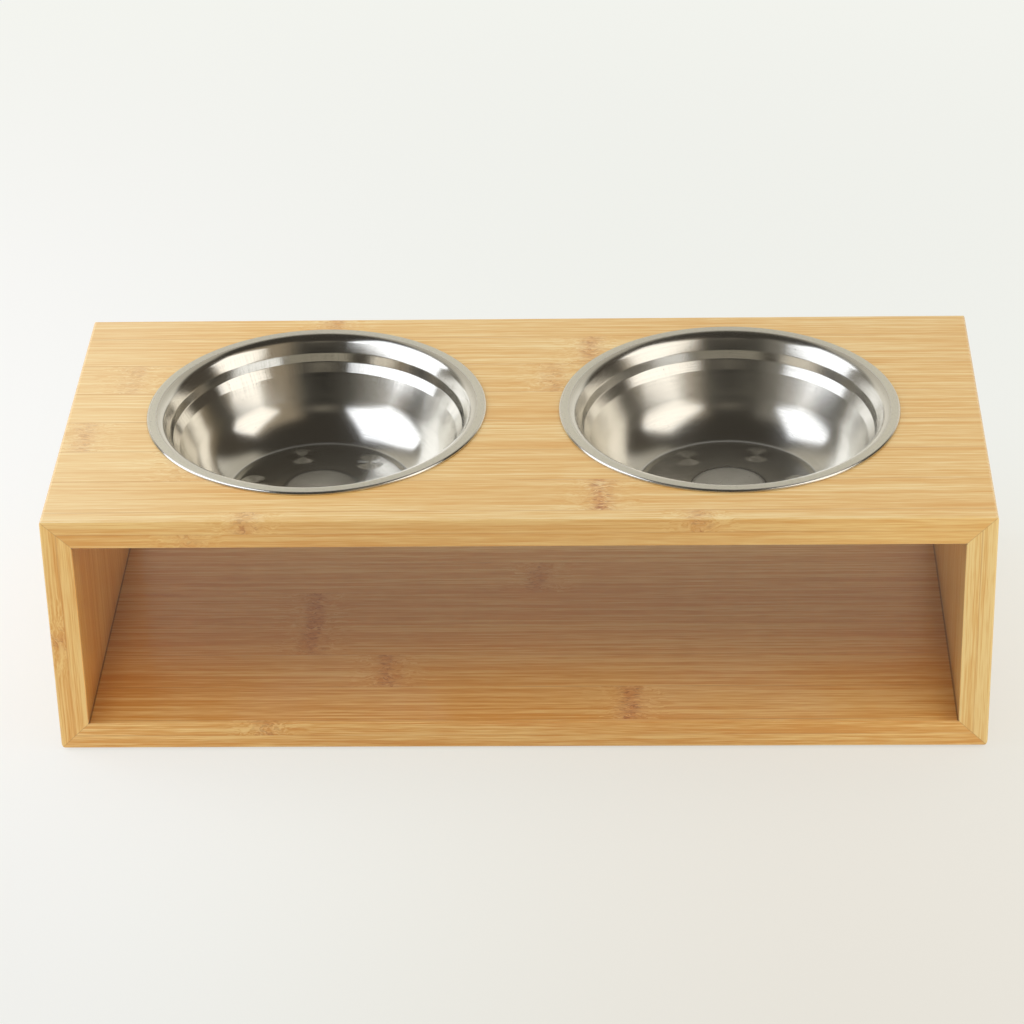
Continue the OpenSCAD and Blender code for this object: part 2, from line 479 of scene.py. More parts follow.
@dataclass(frozen=True)
class BambooFinish:
    """Lacquered flat-pressed bamboo, laid out strip by strip.

    Lengths are in millimetres.
    """

    strip_w: float = 26.0
    reach: float = 250.0
    frame_half: float = 200.0
    frame_top: float = 115.0
    frame_foot: float = 1.0
    board_t: float = 13.0
    pale: RGBA = tone(254, 224, 162)
    honey: RGBA = tone(241, 196, 122)
    amber: RGBA = tone(230, 170, 86)
    tan: RGBA = tone(216, 150, 86)
    brown: RGBA = tone(168, 92, 44)
    glue: RGBA = tone(196, 126, 58)
    joint: RGBA = tone(166, 110, 56)
    # Painted shade for the bay's inner corners, then the dark line where the bay's faces meet,
    # partly their joint and partly painted shade.
    corner: RGBA = tone(190, 160, 128)
    crevice: RGBA = tone(92, 58, 30)
    # The pale colour of the painted sheen on the top's left end.
    painted_sheen_colour: RGBA = tone(255, 240, 200)
    roughness: float = 0.36
    coat: float = 0.6
    coat_roughness: float = 0.14
    seam_w: float = 0.5
    joint_w: float = 0.22
    core_w: float = 5.0
    halo_w: float = 12.0
    broad: Streaks = Streaks(3.0, 75.0, 60.0)
    streak: Streaks = Streaks(7.0, 600.0, 600.0)
    fibre: Streaks = Streaks(22.0, 1600.0, 1600.0)
    hair: Streaks = Streaks(70.0, 2700.0, 2700.0, 1.0)
    ripple: Streaks = Streaks(95.0, 170.0, 130.0, 1.0, 0.5)
    wrinkle: Streaks = Streaks(280.0, 420.0, 260.0, 1.0, 0.5)
    dash: Streaks = Streaks(230.0, 1500.0, 300.0, 2.0, 0.65)
    fleck: Streaks = Streaks(170.0, 1300.0, 300.0, 2.0, 0.6)
    column: Streaks = Streaks(150.0, 45.0, 40.0, 1.0, 0.5)
    jag: Streaks = Streaks(60.0, 330.0, 200.0, 2.0, 0.6)
    patches: Cells = Cells(14.0, 9.0, 0.0, 1.0, 0.5)
    ripple_reach: float = 9.0
    wrinkle_reach: float = 2.6
    jag_reach: float = 6.0
    streak_share: float = 0.42
    fibre_share: float = 0.34
    hair_share: float = 1.2
    broad_share: float = 1.1
    strip_share: float = 0.3
    seam_share: float = 0.5
    joint_share: float = 0.35
    # Share of the painted highlight on the arrises.
    arris_share: float = 0.15
    relief: float = 0.02
    seam_depth: float = 0.05

    def make(self, board: Board) -> bpy.types.Material:
        """Builds the material of one board.

        Args:
            board: The board's strips and grain.

        Returns:
            The material.
        """
        material, graph = new_material(f"bamboo_{board.node}")
        x, y, z = graph.parts(graph.place())
        place = GrainPlace(x, y, z) if board.grain is Grain.LEVEL else GrainPlace(z, y, x)
        counted = (place.across - board.first_seam * MM) / (self.strip_w * MM)
        ply = abs(place.through).above(abs(board.middle) * MM)
        row = counted.floor() + ply * float(board.strips)
        knuckle = self._knuckles(graph, board, place, row)
        luck = graph.chance(graph.joined(row, float(board.seed), 0.5))
        shift = luck[0] * 7.0

        wide = self.ripple.read(graph, place, 3.0) * (self.ripple_reach * MM)
        fine = self.wrinkle.read(graph, place, 5.0) * (self.wrinkle_reach * MM)
        sway = (wide + fine) * knuckle.halo
        bent = place.moved(sway, sway)
        broad = self.broad.read(graph, bent, shift)
        streak = self.streak.read(graph, bent, shift)
        fibre = self.fibre.read(graph, bent, shift)
        hair = self.hair.read(graph, bent, shift)
        shade = streak.eased(-0.16, 0.16) * self.streak_share
        shade = shade + fibre.eased(-0.18, 0.18) * self.fibre_share
        shade = shade - (self.streak_share + self.fibre_share) / 2.0
        shade = (shade + hair * self.hair_share) * board.contrast
        shade = shade + broad * self.broad_share - knuckle.light * self.strip_share
        stops = [(0.0, self.pale), (0.5, self.honey), (1.0, self.amber)]
        colour = graph.ramp(shade + 0.5, stops, "LINEAR")
        colour = self._dashes(graph, colour, bent, knuckle)
        level = abs(graph.parts(graph.normal("True Normal"))[2])
        # Painted shade and light on the upright faces: darker in the middle of the frame and
        # lighter at its ends, over the faces' own deeper tone.
        edge = graph.blend(abs(x).eased(60.0 * MM, 175.0 * MM), board.edge_middle, board.edge_end)
        colour = graph.blend(level.eased(0.7, 0.4), colour, edge, "MULTIPLY")
        # Painted sheen: the top faces at the left end are blended toward a paler colour.
        pale_end = x.eased(-100.0 * MM, -195.0 * MM) * level.eased(0.4, 0.7) * board.painted_sheen
        colour = graph.blend(pale_end, colour, self.painted_sheen_colour)
        colour = self._painted_bay_shade(graph, colour, board, (x, y, z))
        seam = self._seam(graph, counted, place, board)
        colour = graph.blend(seam * self.seam_share, colour, self.glue)
        colour = graph.blend(self._joint(x, z) * self.joint_share, colour, self.joint)
        colour = self._painted_arris_highlight(graph, colour)

        rough = self.roughness + fibre * 0.16 + seam * 0.1 + knuckle.core * 0.08
        height = fibre * (self.relief * MM) + streak * (self.relief * MM)
        height = height - seam * (self.seam_depth * MM)
        finish_surface(
            graph,
            {
                "Base Color": colour,
                "Roughness": rough,
                "IOR": 1.5,
                "Coat Weight": self.coat,
                "Coat Roughness": self.coat_roughness,
                "Normal": graph.bump(height),
            },
        )
        return material

    def _knuckles(
        self, graph: Graph, board: Board, place: GrainPlace, row: Wire
    ) -> KnuckleField:
        """Finds how far the point is from its strip's knuckles.

        Args:
            graph: The material's graph.
            board: The board's strips.
            place: The point.
            row: The number of the point's lamella.

        Returns:
            The bands round the nearest knuckle and the strip's own tone.
        """
        rows = board.rows()
        count = float(len(rows))

        def coded(at: float) -> float:
            """A place along the grain as 0 to 1."""
            return (at + self.reach) / (2.0 * self.reach)

        far = Knuckle(board.far_off, 0.0)
        places, tones = [], []
        for index, lamella in enumerate(rows):
            first, second = (lamella.knuckles + (far, far))[:2]
            stop = index / count
            places.append((stop, (coded(first.at), coded(second.at), 0.0, 1.0)))
            tones.append((stop, (first.dark, second.dark, lamella.light * 0.5 + 0.5, 1.0)))
        factor = (row + 0.5) / count
        found = [graph.channels(graph.ramp(factor, stops, "CONSTANT")) for stops in (places, tones)]
        (first_at, second_at, _), (first_dark, second_dark, light) = found
        placed = place.along + self.jag.read(graph, place) * (self.jag_reach * MM)
        span = 2.0 * self.reach * MM
        one = abs(placed - (first_at * span - self.reach * MM))
        two = abs(placed - (second_at * span - self.reach * MM))
        near = one.smaller(two)
        dark = second_dark + (first_dark - second_dark) * two.above(one)
        return KnuckleField(
            near.hump(self.core_w * MM), near.hump(self.halo_w * MM), dark, light * 2.0 - 1.0
        )

    def _dashes(
        self, graph: Graph, colour: bpy.types.NodeSocket, place: GrainPlace, knuckle: KnuckleField
    ) -> bpy.types.NodeSocket:
        """Lays a knuckle's tan patch and its brown and pale dashes over the fibres.

        Args:
            graph: The material's graph.
            colour: The fibres' colour.
            place: The point, moved by the ripples.
            knuckle: The bands round the knuckle.

        Returns:
            The colour with the knuckles.
        """
        column = self.column.read(graph, place, 2.0).eased(-0.14, 0.1)
        dash = self.dash.read(graph, place, 1.0).eased(-0.02, 0.12)
        fleck = self.fleck.read(graph, place, 9.0).eased(0.03, 0.16)
        patch = knuckle.core * (column * 0.5 + 0.5)
        warm = graph.blend(patch * knuckle.dark * 0.75, colour, self.tan)
        browned = graph.blend(dash * patch * knuckle.dark * 0.85, warm, self.brown)
        return graph.blend(fleck * knuckle.halo * (knuckle.dark * 0.4 + 0.35), browned, self.pale)

    def _seam(self, graph: Graph, counted: Wire, place: GrainPlace, board: Board) -> Wire:
        """Thin lines where strips and plies meet, stronger in some lengths.

        Args:
            graph: The material's graph.
            counted: Place across the board in strips.
            place: The point.
            board: The board's strips.

        Returns:
            1 on a line, 0 away from it.
        """
        off = 0.5 - abs(counted - counted.floor() - 0.5)
        side = (off * (self.strip_w * MM)).eased(self.seam_w * MM, 0.1 * MM)
        flat = abs(abs(place.through) - abs(board.middle) * MM).eased(self.seam_w * MM, 0.1 * MM)
        patchy = self.patches.read(graph, place.along, counted.floor(), 0.0)
        return side.larger(flat * 0.7) * patchy.eased(0.3, 0.62)

    def _joint(self, x: Wire, z: Wire) -> Wire:
        """The glue line of the nearest mitre.

        Args:
            x: Place across the frame.
            z: Place up the frame.

        Returns:
            1 on the mitre's plane, 0 away from it.
        """
        inward = self.frame_half * MM - abs(x)
        down = self.frame_top * MM - z
        rise = z - self.frame_foot * MM
        off = abs(inward - down).smaller(abs(inward - rise))
        return off.hump(self.joint_w * MM) * (inward - self.board_t * MM).eased(1.0 * MM, 0.4 * MM)

    def _painted_bay_shade(
        self, graph: Graph, colour: bpy.types.NodeSocket, board: Board, at: tuple[Wire, Wire, Wire]
    ) -> bpy.types.NodeSocket:
        """Paints light and shade on the faces that look into the bay.

        A tint runs from near_bay at the front to far_bay at the back, painted
        shade darkens the inner corners, and a dark line runs where the faces
        meet, partly their joint and partly painted shade.

        Args:
            graph: The material's graph.
            colour: The colour so far.
            board: The board, with its tints.
            at: The point in the frame's directions.

        Returns:
            The colour with the painted light and shade.
        """
        x, y, z = at
        half_w = self.frame_half - self.board_t
        half_h = (self.frame_top - self.frame_foot) / 2.0 - self.board_t
        middle = (self.frame_top + self.frame_foot) / 2.0
        inside = abs(x).eased((half_w + 0.6) * MM, (half_w + 0.2) * MM)
        inside = inside * abs(z - middle * MM).eased((half_h + 0.6) * MM, (half_h + 0.2) * MM)
        # Painted light and shade: a tint from near_bay at the front to far_bay at the back.
        tint = graph.blend(y.eased(-75.0 * MM, 5.0 * MM), board.near_bay, board.far_bay)
        tinted = graph.blend(inside, colour, tint, "MULTIPLY")
        # Painted shade in the inner corners, and a dark line where the faces meet, partly their
        # joint and partly painted shade.
        off = abs(half_w * MM - abs(x)) + abs(half_h * MM - abs(z - middle * MM))
        deep = graph.blend(off.hump(9.0 * MM) * inside * 0.4, tinted, self.corner, "MULTIPLY")
        return graph.blend(off.eased(0.75 * MM, 0.35 * MM) * inside * 0.6, deep, self.crevice)

    def _painted_arris_highlight(self, graph: Graph, colour: bpy.types.NodeSocket) -> bpy.types.NodeSocket:
        """Paints a highlight on the rounded arrises by lightening their colour.

        Args:
            graph: The material's graph.
            colour: The colour so far.

        Returns:
            The colour with the painted highlight on the arrises.
        """
        x, y, z = (abs(part) for part in graph.parts(graph.normal("True Normal")))
        square = x.larger(y).larger(z)
        # Painted highlight: faces that lean off the three axes are blended toward pale.
        return graph.blend(square.eased(0.99, 0.9) * self.arris_share, colour, self.pale)


# ---- Spun steel ----


@dataclass(frozen=True)
class BowlPlan:
    """A bowl's middle, in metres, and its radii and floor, in millimetres."""

    centre: Vector
    rim_r: float
    flange_from: float
    ring_r: float
    disc_r: float
    floor_z: float
    first_mark: float


@dataclass(frozen=True)
class SpunSteelFinish:
    """Stainless sheet with the fine rings that spinning and brushing leave.

    Lengths are in millimetres, and heights are below the rim's face.
    """

    steel: RGBA = tone(230, 227, 219)
    shadowed: RGBA = tone(176, 171, 160)
    satin: RGBA = tone(219, 213, 194)
    roughness: float = 0.21
    rim_roughness: float = 0.4
    disc_roughness: float = 0.3
    rim_satin: float = 0.55
    ring_satin: float = 0.22
    disc_satin: float = 0.05
    anisotropy: float = 0.75
    turned: float = 0.25
    chatter: float = 0.25
    dent: float = 0.1
    marks: int = 6
    mark_ring: float = 31.0
    mark_size: float = 6.6
    groove: float = 0.36
    groove_tilt: float = 0.3
    ring_relief: float = 0.002
    rings: Cells = Cells(2300.0, 2300.0, 1.5)
    grain: Cells = Cells(1200.0, 1200.0, 48.0, 2.0, 0.7)
    cloud: Cells = Cells(60.0, 60.0, 60.0, 3.0, 0.55)
    slow: Cells = Cells(34.0, 34.0, 60.0, 1.0, 0.4)
    chatter_lines: Cells = Cells(95.0, 40.0, 0.0, 1.0, 0.6)
    specks: Cells = Cells(900.0, 900.0, 900.0, 0.0, 0.5)

    def make(self, name: str, plan: BowlPlan) -> bpy.types.Material:
        """Builds the material of one bowl.

        Args:
            name: The material's name.
            plan: The bowl's middle and radii.

        Returns:
            The material.
        """
        material, graph = new_material(name)
        mapping = {"Vector": graph.place(), "Location": tuple(-part for part in plan.centre)}
        local = graph.socket("ShaderNodeMapping", {"vector_type": "POINT"}, mapping, "Vector")
        x, y, z = graph.parts(local)
        reach = (x * x + y * y).root()
        turn = y.angle_over(x)
        flange = reach.eased((plan.flange_from - 1.5) * MM, plan.flange_from * MM)
        flange = flange * reach.eased((plan.rim_r - 0.35) * MM, (plan.rim_r - 1.0) * MM)
        on_floor = z.eased((plan.floor_z + 1.7) * MM, (plan.floor_z + 1.0) * MM)
        disc = reach.eased((plan.disc_r + 0.5) * MM, (plan.disc_r - 0.5) * MM) * on_floor
        ring = (reach - plan.ring_r * MM).hump(0.6 * MM) * on_floor
        wall = z.eased(-24.0 * MM, -16.0 * MM) * z.eased(-2.0 * MM, -5.0 * MM)

        rings = self.rings.read(graph, reach, z, turn)
        grain = self.grain.read(graph, reach, z, turn)
        cloud = self.cloud.read(graph, x, y, z)
        slow = self.slow.read(graph, x, y, z)
        chatter = self.chatter_lines.read(graph, turn, z, 0.0) - 0.5
        speck = self.specks.read(graph, x, y, z).eased(0.8, 0.86)

        mark, tilted = self._marks(graph, reach, turn, plan.first_mark, on_floor)
        rough = (
            self.roughness
            + flange * (self.rim_roughness - self.roughness)
            + disc * (self.disc_roughness - self.roughness)
            + (rings - 0.5) * 0.1
            + (grain - 0.5) * (flange * 0.25 + 0.04)
            + (cloud - 0.5) * 0.05
            - mark * 0.02
        )
        worn = (rings - 0.45) * 0.5 + speck * 0.6 + (grain - 0.5) * flange * 1.1
        worn = worn + chatter * wall * self.chatter
        colour = graph.blend(flange, self.steel, self.satin)
        colour = graph.blend(worn, colour, self.shadowed)
        metallic = 1.0 - flange * self.rim_satin - ring * self.ring_satin - disc * self.disc_satin
        height = (rings - 0.5) * (self.ring_relief * MM) + (slow - 0.5) * (self.dent * MM)
        sockets = {"Strength": 1.0, "Distance": 1.0, "Height": height, "Normal": tilted}
        finish_surface(
            graph,
            {
                "Base Color": colour,
                "Metallic": metallic,
                "Roughness": rough,
                "Anisotropic": self.anisotropy,
                "Anisotropic Rotation": self.turned,
                "Normal": graph.socket("ShaderNodeBump", None, sockets, "Normal"),
            },
        )
        return material

    def _marks(
        self, graph: Graph, reach: Wire, turn: Wire, first: float, on_floor: Wire
    ) -> tuple[Wire, bpy.types.NodeSocket]:
        """Round polish marks in a ring on the floor, each with its own fine round grooves.

        Args:
            graph: The material's graph.
            reach: Distance from the bowl's axis.
            turn: Angle round the axis.
            first: Angle of the first mark, in degrees.
            on_floor: 1 on the floor.

        Returns:
            1 within a mark, and the normal that its grooves tilt.
        """
        step = 2.0 * math.pi / self.marks
        start = math.radians(first)
        heading = ((turn - start) / step + 0.5).floor() * step + start
        out = reach * (turn - heading).cosine() - self.mark_ring * MM
        side = reach * (turn - heading).sine()
        away = (out * out + side * side).root()
        mark = away.eased((self.mark_size + 0.6) * MM, (self.mark_size - 0.4) * MM) * on_floor
        wave = (away * (2.0 * math.pi / (self.groove * MM))).sine() * mark * self.groove_tilt
        share = wave / away.larger(0.05 * MM)
        cosine, sine = heading.cosine(), heading.sine()
        tilt = graph.joined(
            (out * cosine - side * sine) * share, (out * sine + side * cosine) * share, 0.0
        )
        kind = "ShaderNodeVectorMath"
        both = {"Vector": graph.normal("Normal"), "Vector_001": tilt}
        leaned = graph.socket(kind, {"operation": "ADD"}, both, "Vector")
        return mark, graph.socket(kind, {"operation": "NORMALIZE"}, {"Vector": leaned}, "Vector")


# ---- Hidden pieces' finishes ----


@dataclass(frozen=True)
class PressedBeechFinish:
    """Compressed beech of a joining biscuit, with slanting grain and an embossed net."""

    pale: RGBA = tone(214, 178, 132)
    dark: RGBA = tone(176, 133, 88)
    roughness: float = 0.7
    net: float = 2.2
    net_relief: float = 0.06
    grain_relief: float = 0.05
    grain: Cells = Cells(1300.0, 90.0, 160.0, 3.0, 0.6)
    fleck: Cells = Cells(500.0, 500.0, 500.0, 1.0, 0.5)

    def make(self) -> bpy.types.Material:
        """Builds the material.

        Returns:
            The material.
        """
        material, graph = new_material("pressed_beech")
        x, y, z = graph.parts(graph.place())
        slant = (x + y + z) * 0.707
        grain = self.grain.read(graph, slant, x - y, z)
        fleck = self.fleck.read(graph, slant, x - y, z)
        step = 2.0 * math.pi / (self.net * MM)
        net = ((x + z) * step).sine() * (y * step).sine()
        share = (grain - 0.5) * 1.4 + fleck.eased(0.6, 0.8) * 0.4 + 0.4
        colour = graph.blend(share, self.pale, self.dark)
        height = net * (self.net_relief * MM) + (grain - 0.5) * (self.grain_relief * MM)
        sockets = {"Base Color": colour, "Roughness": self.roughness + (grain - 0.5) * 0.1}
        finish_surface(graph, sockets | {"Normal": graph.bump(height)})
        return material


@dataclass(frozen=True)
class RubberFinish:
    """Matt grey rubber of the pads, with a fine grain and dusty patches."""

    body: RGBA = tone(62, 61, 60)
    dusty: RGBA = tone(98, 95, 91)
    roughness: float = 0.78
    relief: float = 0.03
    grain: Cells = Cells(2600.0, 2600.0, 2600.0)
    dust: Cells = Cells(240.0, 240.0, 240.0, 3.0)

    def make(self) -> bpy.types.Material:
        """Builds the material.

        Returns:
            The material.
        """
        material, graph = new_material("pad_rubber")
        x, y, z = graph.parts(graph.place())
        grain = self.grain.read(graph, x, y, z)
        dust = self.dust.read(graph, x, y, z)
        colour = graph.blend(dust.eased(0.4, 0.75), self.body, self.dusty)
        sockets = {"Base Color": colour, "Roughness": self.roughness + (dust - 0.5) * 0.2}
        finish_surface(graph, sockets | {"Normal": graph.bump(grain * (self.relief * MM))})
        return material


# ---- Sub-assemblies ----


@dataclass
class BambooFrame:
    """The open frame: four mitred boards, the biscuits inside its joints and its pads."""

    finish: BambooFinish = field(default_factory=BambooFinish)
    beech: PressedBeechFinish = field(default_factory=PressedBeechFinish)
    rubber: RubberFinish = field(default_factory=RubberFinish)

    @staticmethod
    def boards() -> tuple[Board, ...]:
        """The four boards, with the strips that show in their real places."""
        top = {
            (0, 1): Lamella(0.12, (Knuckle(-113.4, 0.55), Knuckle(76.0, 0.5))),
            (1, 1): Lamella(-0.04, (Knuckle(34.5, 0.95),)),
            (2, 1): Lamella(0.04, (Knuckle(-145.0, 0.15),)),
            (3, 1): Lamella(0, (Knuckle(-190.5, 0.45),)),
            (4, 1): Lamella(0.06, ()),
            (5, 1): Lamella(-0.02, (Knuckle(-175.0, 0.5), Knuckle(13.0, 0.5))),
            (6, 1): Lamella(0.04, (Knuckle(29.0, 0.6),)),
            (7, 1): Lamella(-0.06, (Knuckle(-88.0, 0.6),)),
            (0, 0): Lamella(0.05, (Knuckle(-138.0, 0.45),)),
        }
        base = {
            (0, 1): Lamella(0.05, (Knuckle(-111.0, 0.7),)),
            (1, 1): Lamella(0, (Knuckle(46.5, 0.8),)),
            (2, 1): Lamella(0.04, (Knuckle(-60.0, 0.8),)),
            (3, 1): Lamella(-0.04, (Knuckle(-95.5, 0.85),)),
            (4, 1): Lamella(0.02, (Knuckle(-95.5, 0.8),)),
            (5, 1): Lamella(0.04, (Knuckle(5.0, 0.6),)),
            (6, 1): Lamella(-0.02, ()),
            (7, 1): Lamella(0, (Knuckle(-92.8, 0.4),)),
            (0, 0): Lamella(0.1, ()),
        }
        # The lightness of the uprights' front strips is painted light on their front faces,
        # strongest on the right; the knuckle is the wood's own.
        left = {(0, 1): Lamella(0.45, (Knuckle(56.7, 0.5),)), (0, 0): Lamella(0.45, ())}
        right = {(0, 1): Lamella(1.0, ()), (0, 0): Lamella(0.9, ())}
        # self_lit and shaded are painted light and shade for the bay; the two end tints are painted
        # light on the upright faces at the frame's ends.
        self_lit = (1.0, 0.86, 0.65, 1.0)
        shaded = (0.8, 0.72, 0.64, 1.0)
        warm_end = (1.0, 0.86, 0.58, 1.0)
        pale_end = (1.0, 0.95, 0.78, 1.0)
        level, upright = Grain.LEVEL, Grain.UPRIGHT
        return (
            Board("top_board", level, -109.5, 108.5, top, seed=3, painted_sheen=0.22),
            Board(
                "base_board", level, -115.0, 7.5, base, seed=5,
                contrast=1.7, near_bay=self_lit, far_bay=shaded,
            ),
            Board(
                "left_side", upright, -104.0, -193.5, left, seed=8,
                contrast=1.3, near_bay=self_lit, far_bay=self_lit, edge_end=warm_end,
            ),
            Board(
                "right_side", upright, -98.0, 193.5, right, seed=13,
                contrast=1.3, edge_end=pale_end,
            ),
        )

    def dress(self) -> list[str]:
        """Gives every CAD piece of the frame its finish.

        Returns:
            The names of the pieces that were dressed.
        """
        dressed = []
        for board in self.boards():
            self._paint(board.node, self.finish.make(board))
            dressed.append(board.node)
        hidden = {"biscuit_": self.beech.make(), "pad_": self.rubber.make()}
        for node in sorted(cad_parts):
            for start, material in hidden.items():
                if node.startswith(start):
                    self._paint(node, material)
                    dressed.append(node)
        return dressed

    @staticmethod
    def _paint(node: str, material: bpy.types.Material) -> None:
        """Puts a material in every slot of a CAD piece."""
        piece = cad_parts[node]
        if not piece.material_slots:
            piece.data.materials.append(material)
        for slot in piece.material_slots:
            slot.material = material


@dataclass(frozen=True)
class Corner:
    """A corner of a path: how far out, how high, and the radius it is rounded with."""

    out: float
    up: float
    bend: float = 0.0

    def at(self) -> Vector:
        """The sharp corner's place."""
        return Vector((self.out, self.up))


def rounded(corners: Sequence[Corner], quarter: int) -> list[Vector]:
    """Follows a run of corners and rounds each with its own radius.

    Args:
        corners: The corners in order.
        quarter: Steps in a quarter turn.

    Returns:
        The points of the rounded run.
    """
    points = [corners[0].at()]
    for before, corner, after in zip(corners, corners[1:], corners[2:]):
        if corner.bend <= 0.0:
            points.append(corner.at())
            continue
        back = (before.at() - corner.at()).normalized()
        ahead = (after.at() - corner.at()).normalized()
        half = back.angle(ahead) / 2.0
        centre = corner.at() + (back + ahead).normalized() * (corner.bend / math.sin(half))
        first = corner.at() + back * (corner.bend / math.tan(half)) - centre
        way = 1.0 if ahead.y * -back.x - ahead.x * -back.y > 0.0 else -1.0
        sweep = (math.pi - 2.0 * half) * way
        steps = max(2, math.ceil(abs(sweep) / (math.pi / 2.0) * quarter))
        start = math.atan2(first.y, first.x)
        for step in range(steps + 1):
            angle = start + sweep * step / steps
            points.append(centre + Vector((math.cos(angle), math.sin(angle))) * corner.bend)
    points.append(corners[-1].at())
    return points


class SpinTree:
    """Geometry Nodes that spin a path of points about an upright axis."""

    WELD = 0.00001

    def __init__(self) -> None:
        """Builds the tree once, for every piece that is spun."""
        self.tree = bpy.data.node_groups.new("spin_a_path", "GeometryNodeTree")
        self.tree.is_modifier = True
        graph = Graph(self.tree)
        add = self.tree.interface.new_socket
        self.keys = {
            name: add(name=name, in_out="INPUT", socket_type=kind).identifier
            for name, kind in (
                ("Geometry", "NodeSocketGeometry"),
                ("Turns", "NodeSocketInt"),
                ("Hub", "NodeSocketFloat"),
                ("Centre", "NodeSocketVector"),
                ("Finish", "NodeSocketMaterial"),
            )
        }
        made = add(name="Geometry", in_out="OUTPUT", socket_type="NodeSocketGeometry")
        given = {one.name: one for one in graph.node("NodeGroupInput").outputs if one.name}
        path = graph.socket("GeometryNodeMeshToCurve", None, {"Mesh": given["Geometry"]}, "Curve")
        wheel = graph.socket(
            "GeometryNodeCurvePrimitiveCircle",
            {"mode": "RADIUS"},
            {"Resolution": given["Turns"], "Radius": given["Hub"]},
            "Curve",
        )
        sheet = graph.socket(
            "GeometryNodeCurveToMesh", None, {"Curve": wheel, "Profile Curve": path}, "Mesh"
        )
        near = {"Geometry": sheet, "Distance": self.WELD}
        weld = graph.socket("GeometryNodeMergeByDistance", None, near, "Geometry")
        moved = graph.socket(
            "GeometryNodeTransform",
            None,
            {"Geometry": weld, "Translation": given["Centre"]},
            "Geometry",
        )
        smooth = graph.socket("GeometryNodeSetShadeSmooth", None, {"Geometry": moved}, "Geometry")
        real = graph.socket("GeometryNodeRealizeInstances", None, {"Geometry": smooth}, "Geometry")
        steel = {"Geometry": real, "Material": given["Finish"]}
        done = graph.socket("GeometryNodeSetMaterial", None, steel, "Geometry")
        graph.node("NodeGroupOutput", None, {made.identifier: done})

    def spin(
        self,
        name: str,
        path: Sequence[Vector],
        centre: Vector,
        turns: int,
        finish: bpy.types.Material,
    ) -> bpy.types.Object:
        """Spins one path.

        Args:
            name: The new object's name.
            path: Points of the section, x out from the axis and y up, in metres.
            centre: Where the path's own zero goes.
            turns: Faces round the piece.
            finish: Its material.

        Returns:
            The object, at the origin, with a plain mesh.
        """
        hub = 1.0 * MM
        mesh = bpy.data.meshes.new(name)
        points = [(point.x - hub, -point.y, 0.0) for point in path]
        mesh.from_pydata(points, [(i, i + 1) for i in range(len(points) - 1)], [])
        piece = bpy.data.objects.new(name, mesh)
        bpy.context.scene.collection.objects.link(piece)
        modifier = piece.modifiers.new("spin", "NODES")
        modifier.node_group = self.tree
        modifier[self.keys["Turns"]] = turns
        modifier[self.keys["Hub"]] = hub
        modifier[self.keys["Centre"]] = tuple(centre)
        modifier[self.keys["Finish"]] = finish
        bpy.context.view_layer.update()
        seen = piece.evaluated_get(bpy.context.evaluated_depsgraph_get())
        piece.data = bpy.data.meshes.new_from_object(seen)
        piece.data.name = name
        piece.modifiers.remove(modifier)
        bpy.data.meshes.remove(mesh)
        return piece


